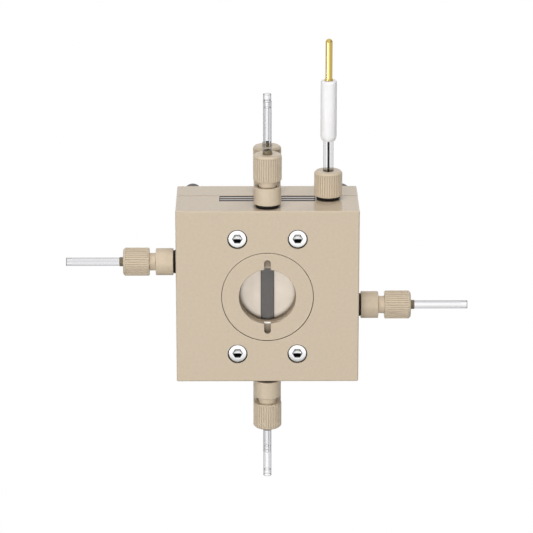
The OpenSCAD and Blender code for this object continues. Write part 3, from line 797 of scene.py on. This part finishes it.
for port, place in PORTS.items():
    low, high, crest = span(f"{port}_nut", place)
    head = low + NECK_LENGTH
    thread_end = head - NECK_PLAIN
    outline = [
        (NUT_BORE, low, NUT_MOUTH_ROUNDING),
        *stretch(NECK_RADIUS, low, thread_end), (NECK_RADIUS, head),
        *ribbed_outline(crest, head, high, NUT_CHAMFER),
        (NUT_BORE, high, NUT_MOUTH_ROUNDING),
    ]
    ribs = ribbed(crest, high - NUT_CHAMFER - SMOOTH_BAND)
    shape = both(ribs, threaded(low, thread_end, NECK_RADIUS))
    nut = turned_mesh(f"{port}_ribbed_nut", outline, RIB_POINTS, shape)
    dress(nut.name, nut, place, f"{port}_nut", f"{port}_nut", turned_plastic)
print("nut", round(high - head, 2), "mm long,", round(2 * crest, 2), "mm across,",
      len(nut.vertices), "points")

# %% [markdown]
# ## Fitting bodies
# Each smooth body screws into the block on a black O-ring, and its socket takes the nut's neck. All
# that shows of it is a plain barrel with a lit rim, but the socket is turned as well, because the
# nut leaves it open to view when it is unscrewed.

# %% Turn the fitting bodies
SEAL_GAP = 1.3
SHANK_RADIUS = 3.0
CHANNEL_RADIUS = 0.8
SOCKET_RADIUS = 3.45
SOCKET_MOUTH = 0.35
SOCKET_DEPTH = 5.5
TUBE_SEAT = 1.65
TUBE_STOP = 0.0
SHANK_ROUNDING = 0.3
BODY_FOOT_ROUNDING = 0.35
BODY_RIM_ROUNDING = 0.4
SOCKET_ROUNDING = 0.1

for port, place in PORTS.items():
    low, high, radius = span(f"{port}_fitting_body", place)
    socket_floor = high - SOCKET_DEPTH
    outline = [
        (CHANNEL_RADIUS, low), (SHANK_RADIUS, low, SHANK_ROUNDING), (SHANK_RADIUS, SEAL_GAP),
        (radius, SEAL_GAP, BODY_FOOT_ROUNDING), (radius, high, BODY_RIM_ROUNDING),
        (SOCKET_RADIUS + SOCKET_MOUTH, high, SOCKET_ROUNDING), (SOCKET_RADIUS, high - SOCKET_MOUTH),
        (SOCKET_RADIUS, socket_floor), (TUBE_SEAT, socket_floor),
        (TUBE_SEAT, TUBE_STOP), (CHANNEL_RADIUS, TUBE_STOP),
    ]
    body = turned_mesh(f"{port}_smooth_body", outline)
    dress(body.name, body, place, f"{port}_fitting_body", "cell", turned_plastic)
print("fitting body", round(high, 2), "mm tall,", round(2 * radius, 2), "mm across")

# %% [markdown]
# ## O-rings
# An O-ring is a round cord that closes on itself, and here two faces squeeze it. A torus scaled flat
# would be too thin at its edges: rubber keeps its round sides and gives way only where it is pressed.
# So the outline is a circle that is cut off at both faces.

# %% Turn the O-rings
SEAL_CORD = 1.5
SEAL_FIT = 0.05
SEAL_ROOM = 0.02
SEAL_MIDDLE = SHANK_RADIUS + SEAL_FIT + SEAL_CORD / 2
SEAL_POINTS = 28
SEAL_SIDES = 80


def squeezed_ring(name):
    """An O-ring's cord, pressed flat between two faces a seal gap apart, just clear of the nut's."""
    outline = []
    for i in range(SEAL_POINTS):
        turn = math.tau * i / SEAL_POINTS
        height = (SEAL_GAP + SEAL_CORD * math.sin(turn)) / 2
        radius = SEAL_MIDDLE + SEAL_CORD / 2 * math.cos(turn)
        outline.append((radius, min(max(height, 0), SEAL_GAP - SEAL_ROOM)))
    return turned_mesh(name, outline, SEAL_SIDES)


for port, place in PORTS.items():
    ring = squeezed_ring(f"{port}_o_ring")
    dress(ring.name, ring, place, "port_seals", "cell", black_rubber)
print("O-ring cord", SEAL_CORD, "mm, squeezed to", SEAL_GAP)

# %% [markdown]
# ## Ferrules
# The nut presses a ferrule's collar on to the tube, and its dark sleeve runs out past the nut. Only the
# sleeve's end shows, and a bare ring would do for the picture. Turning the whole ferrule takes just
# two more corners in the outline, and keeps the piece true to the solid that it stands for.

# %% Turn the ferrules
SLEEVE_RADIUS = 1.8
SLEEVE_SIDES = 64
SLEEVE_ROUNDING = 0.3
SLEEVE_MOUTH_ROUNDING = 0.1
COLLAR_HEIGHT = 1.2
GRIP_RADIUS = 1.4
GRIP_ROOM = 0.025

for port, place in PORTS.items():
    low, high, collar = span(f"{port}_ferrule", place)
    collar_top = low + COLLAR_HEIGHT
    bore = GRIP_RADIUS + GRIP_ROOM
    outline = [
        (bore, low), (collar, low, SLEEVE_ROUNDING), (collar, collar_top), (SLEEVE_RADIUS, collar_top),
        (SLEEVE_RADIUS, high, SLEEVE_ROUNDING), (bore, high, SLEEVE_MOUTH_ROUNDING),
    ]
    sleeve = turned_mesh(f"{port}_sleeve", outline, SLEEVE_SIDES)
    dress(sleeve.name, sleeve, place, f"{port}_ferrule", f"{port}_tube", olive_sleeve)
print("ferrule", round(high - low, 2), "mm long, collar", round(2 * collar, 2), "mm across")

# %% [markdown]
# ## Tubes
# A tube narrows where the ferrule grips it, and its free end is bored a little wider. Three finishes
# share it. The outside draws the outline and the bore hardly any, or the tube would show its walls
# twice, and the sawn edges at the end are darker rings. One finish could tell these faces apart by
# where they are, but each face of a mesh can simply name its own.

# %% Draw the tubes
TUBE_BORE = 1.0
TUBE_SIDES = 72
FREE_RISE = 0.05
FREE_ROUNDING = 0.1
CUT_RADIUS = 1.35
CUT_DEPTH = 2.4
CUT_EDGE = 0.3
CUT_ROUNDINGS = (0.2, 0.1)


def line_bore(data, radius):
    """Give a clear piece's bore its own finish, since only the outside draws an outline."""
    data.materials.append(clear_bore)
    for face in data.polygons:
        if face.center.xy.length < radius * MM:
            face.material_index = len(data.materials) - 1


def let_light_through(piece):
    """Let lamps and soft light pass a clear piece straight, so that nothing behind it is lit twice."""
    piece.visible_shadow = False
    piece.visible_diffuse = False


for port, place in PORTS.items():
    low, high, radius = span(f"{port}_tube", place)
    free_end = span(f"{port}_ferrule", place)[1] + FREE_RISE
    cut = high - CUT_DEPTH
    outside, inside = CUT_ROUNDINGS
    outline = [
        (TUBE_BORE, low), (GRIP_RADIUS, low), (GRIP_RADIUS, free_end), (radius, free_end, FREE_ROUNDING),
        (radius, high, outside), (CUT_RADIUS, high, inside), (CUT_RADIUS, cut), (TUBE_BORE, cut),
    ]
    tube = turned_mesh(f"{port}_clear_tube", outline, TUBE_SIDES)
    tube.materials.append(clear_tube)
    line_bore(tube, CUT_RADIUS)
    tube.materials.append(cut_end)
    for face in tube.polygons:
        height = face.center.z / MM
        if height > high - CUT_EDGE or abs(height - cut) < CUT_EDGE / 2:
            face.material_index = len(tube.materials) - 1
    stub = dress(tube.name, tube, place, f"{port}_tube", f"{port}_tube", clear_tube)
    let_light_through(stub)
print("tube", round(high - low, 1), "mm long,", round(2 * radius, 2), "mm across")

# %% [markdown]
# ## Cap screws
# The front four sit flush in their counterbores, bright, and the back four stand proud, black. The
# hexagon is part of the outline: where the lathe asks for the socket's radius, the shape answers
# with a hexagon instead of a circle. Fine knurling round the head is the grip that such screws have.

# %% Turn the screws
HEAD_RADIUS = 3.5
HEAD_HEIGHT = 4.0
HEAD_ROUNDING = 0.35
SCREW_RADIUS = 2.0
HEX_FLAT = 1.5
HEX_DEPTH = 2.0
HEX_LEAD = 0.25
HEX_MOUTH = HEX_FLAT + HEX_LEAD
HEX_TURN = math.tau / 6
DRILL_POINT = 0.5
TIP_ROUNDING = 0.4
KNURL_START = 0.6
KNURL_GAP = 0.01
KNURLS = 40
KNURL_STEPS = 6
KNURL_DEPTH = 0.12
knurled = ribbed(HEAD_RADIUS, HEAD_HEIGHT, KNURLS, KNURL_DEPTH)


def head_shape(radius, height, angle):
    """A hexagon at the socket's radius, and knurls on the outside of the head."""
    if radius < SCREW_RADIUS and height < HEAD_HEIGHT:
        return radius / math.cos((angle + HEX_TURN / 2) % HEX_TURN - HEX_TURN / 2)
    if radius == HEAD_RADIUS and KNURL_START < height < HEAD_HEIGHT:
        return knurled(radius, height, angle)
    return radius


def cap_screw(name, length):
    """A socket cap screw whose head's top is at height 0 and whose shank points up Z."""
    tip = HEAD_HEIGHT + length
    outline = [
        (0, HEX_DEPTH + DRILL_POINT), (HEX_FLAT, HEX_DEPTH), (HEX_FLAT, HEX_LEAD), (HEX_MOUTH, 0),
        (HEAD_RADIUS, 0, HEAD_ROUNDING), (HEAD_RADIUS, KNURL_START),
        (HEAD_RADIUS, KNURL_START + KNURL_GAP), (HEAD_RADIUS, HEAD_HEIGHT - KNURL_GAP),
        (HEAD_RADIUS, HEAD_HEIGHT), (SCREW_RADIUS, HEAD_HEIGHT),
        (SCREW_RADIUS, tip, TIP_ROUNDING), (0, tip),
    ]
    return turned_mesh(name, outline, KNURLS * KNURL_STEPS, head_shape)


def fit_screws(node, finish, inward):
    """Four screws at the corners of a pattern, found from the box of all four heads."""
    low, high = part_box(node)
    data = cap_screw(node.rstrip("s"), (high.y - low.y) / MM - HEAD_HEIGHT)
    turn = inward.to_track_quat("Z", "X").to_matrix().to_4x4()
    head_y = low.y if inward.y > 0 else high.y
    inset = HEAD_RADIUS * MM
    columns = (low.x + inset, high.x - inset)
    rows = (low.z + inset, high.z - inset)
    places = [(x, head_y, z) for x in columns for z in rows]
    for number, place in enumerate(places, 1):
        dress(f"{node}_{number}", data, Matrix.Translation(place) @ turn, node, "cell", finish)
    print(node, "at", [[round(x / MM, 1) for x in place] for place in places])


fit_screws("front_screws", bright_steel, Vector((0, 1, 0)))
fit_screws("back_screws", black_steel, Vector((0, -1, 0)))

# %% [markdown]
# ## Reference electrode
# A glass stem with a silver wire hangs in a ribbed nut of its own. A white cap joins it to the gold
# pin that the lead clips on. All of it is round, so every outline is swung about one axis, and the
# nut takes its ribs, its thread and its O-ring from the ports.

# %% Turn the reference nut
REFERENCE = axis_frame("reference_pin", UP)
STEM_RADIUS = 2.0
STEM_ROOM = 0.05
STEM_MOUTH_ROUNDING = 0.25
SHANK_THREAD_END = -0.4

low, high, crest = span("reference_nut", REFERENCE)
bore = STEM_RADIUS + STEM_ROOM
outline = [
    (bore, low), *stretch(SHANK_RADIUS, low, SHANK_THREAD_END), (SHANK_RADIUS, SEAL_GAP),
    *ribbed_outline(crest, SEAL_GAP, high, NUT_CHAMFER), (bore, high, STEM_MOUTH_ROUNDING),
]
ribs = ribbed(crest, high - NUT_CHAMFER - SMOOTH_BAND)
shape = both(ribs, threaded(low, SHANK_THREAD_END, SHANK_RADIUS))
nut = turned_mesh("reference_ribbed_nut", outline, RIB_POINTS, shape)
dress(nut.name, nut, REFERENCE, "reference_nut", "reference_nut", turned_plastic)
ring = squeezed_ring("reference_o_ring")
dress(ring.name, ring, REFERENCE, "reference_seal", "reference_seal", black_rubber)
print("reference nut", round(high - SEAL_GAP, 2), "mm tall,", round(2 * crest, 2), "mm across")

# %% [markdown]
# ## The stem
# The stem is a glass tube with rounded ends. A solid rod would look much the same from afar, but the
# wire has to hang in something: the stem has a real bore, and a finish in it that hardly shows, as
# the tubes have.

# %% Turn the stem
STEM_BORE = 1.2
STEM_TIP_ROUNDINGS = (0.3, 0.5)
STEM_TOP_ROUNDING = 0.2


def dress_electrode(name, outline, sides, node, finish):
    """A turned piece that moves with the electrode."""
    data = turned_mesh(name, outline, sides)
    return dress(name, data, REFERENCE, node, "reference_electrode", finish)


low, high, radius = span("reference_glass", REFERENCE)
inside, outside = STEM_TIP_ROUNDINGS
outline = [
    (STEM_BORE, low, inside), (STEM_RADIUS, low, outside),
    (STEM_RADIUS, high, STEM_TOP_ROUNDING), (STEM_BORE, high, STEM_TOP_ROUNDING),
]
stem = dress_electrode("reference_stem", outline, TUBE_SIDES, "reference_glass", stem_glass)
line_bore(stem.data, STEM_BORE)
let_light_through(stem)
print("stem", round(high - low, 1), "mm long,", round(2 * radius, 2), "mm across")

# %% [markdown]
# ## The cap and the pin
# The white cap is pushed over the stem and tapers at its mouth. The gold pin stands on it with a small
# collar and ends in a dome. Rounding a corner takes up at most half of the line beside it, which would
# leave the pin's end flat in the middle, so the dome's points are set on a quarter circle instead.

# %% Turn the cap and the pin
CAP_SOCKET = 8.0
CAP_TAPER = 0.7
CAP_TAPER_HEIGHT = 1.4
CAP_MOUTH_ROUNDINGS = (0.2, 0.4)
CAP_ROUNDING = 0.6
PIN_COLLAR = 0.6
PIN_STEP = 0.3
PIN_SIDES = 72
PIN_FOOT_ROUNDING = 0.1
COLLAR_ROUNDINGS = (0.15, 0.2)
DOME_TURNS = [math.radians(turn) for turn in range(0, 90, 10)]

low, cap_top, radius = span("reference_cap", REFERENCE)
socket_end = low + CAP_SOCKET
bore = STEM_RADIUS + STEM_ROOM / 2
inside, outside = CAP_MOUTH_ROUNDINGS
outline = [
    (0, socket_end), (bore, socket_end), (bore, low, inside), (radius - CAP_TAPER, low, outside),
    (radius, low + CAP_TAPER_HEIGHT, CAP_ROUNDING), (radius, cap_top, CAP_ROUNDING), (0, cap_top),
]
dress_electrode("reference_white_cap", outline, ROUND_SIDES, "reference_cap", white_cap)

low, high, collar = span("reference_pin", REFERENCE)
pin = collar - PIN_STEP
collar_top = cap_top + PIN_COLLAR
below, above = COLLAR_ROUNDINGS
outline = [
    (0, cap_top), (collar, cap_top, below), (collar, collar_top, above),
    (pin, collar_top, PIN_FOOT_ROUNDING),
    *((pin * math.cos(turn), high - pin + pin * math.sin(turn)) for turn in DOME_TURNS), (0, high),
]
dress_electrode("reference_gold_pin", outline, PIN_SIDES, "reference_pin", gold_plate)
print("cap", round(2 * radius, 2), "mm across, pin", round(2 * pin, 2), "by",
      round(high - cap_top, 1), "mm")

# %% [markdown]
# ## The wire
# Thin wire is never quite straight. This one is turned straight like the rest, in rows that are close
# enough to bend, and a slow wave then moves its points aside, at another pace in X than in Y. A
# grown coating darkens it and makes it a little thicker than the bare wire.

# %% Bend the wire
WIRE_WAVE = 0.05
WIRE_BENDS = (4.3, 6.1)
WIRE_LAG = 1.0
WIRE_COATING = 0.12
WIRE_ROUNDING = 0.3
WIRE_ENDS = 1.0
WIRE_STEP = 2.0
WIRE_SIDES = 24

low, high, radius = span("reference_wire", REFERENCE)
radius += WIRE_COATING
outline = [
    (0, low), (radius, low, WIRE_ROUNDING),
    *stretch(radius, low + WIRE_ENDS, high - WIRE_ENDS, WIRE_STEP),
    (radius, high), (0, high),
]
wire = turned_mesh("reference_silver_wire", outline, WIRE_SIDES)
for point in wire.vertices:
    height = point.co.z / MM - low
    point.co.x += WIRE_WAVE * MM * math.sin(height / WIRE_BENDS[0])
    point.co.y += WIRE_WAVE * MM * math.sin(height / WIRE_BENDS[1] + WIRE_LAG)
dress(wire.name, wire, REFERENCE, "reference_wire", "reference_electrode", dark_coating)
print("wire", round(high - low, 1), "mm long")

# %% [markdown]
# ## Finishes for the solids that stay
# The plates, the window and the stack are flat, milled shapes, and their solids are right as they are.
# To model them again would add points and no detail, so they only change their finish. The plastic's
# finish rounds its edges to the eye.

# %% Paint the solids
SOLID_FINISHES = {
    "front_plate": plate_plastic, "back_plate": plate_plastic, "window_ring": ring_plastic,
    "window_slip_ring": brown_seal, "window_glass": window_pane, "window_seal": white_cap,
    "diffusion_strip": carbon_paper, "strip_carrier": waxy_disc, "contact_pins": grey_sheet,
    "front_gasket": gasket_sheet, "cathode_collector": grey_sheet, "flow_frame": gasket_sheet,
    "membrane": amber_film, "anode_plate": grey_sheet, "rear_gasket": gasket_sheet,
    "reference_gland_ring": black_rubber, "reference_plug": white_cap,
}
for node, finish in SOLID_FINISHES.items():
    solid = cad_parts[node].data
    solid.materials.clear()
    solid.materials.append(finish)
let_light_through(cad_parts["window_glass"])
print(len(SOLID_FINISHES), "solids painted")

# %% [markdown]
# ## Size, and done
# The finer pieces should not outgrow the solids, so the box of everything shown, finer pieces and the
# solids that stay, is printed in millimetres.

# %% Print the box
low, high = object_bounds()
print("box in mm:", [round(side / MM, 1) for side in high - low])
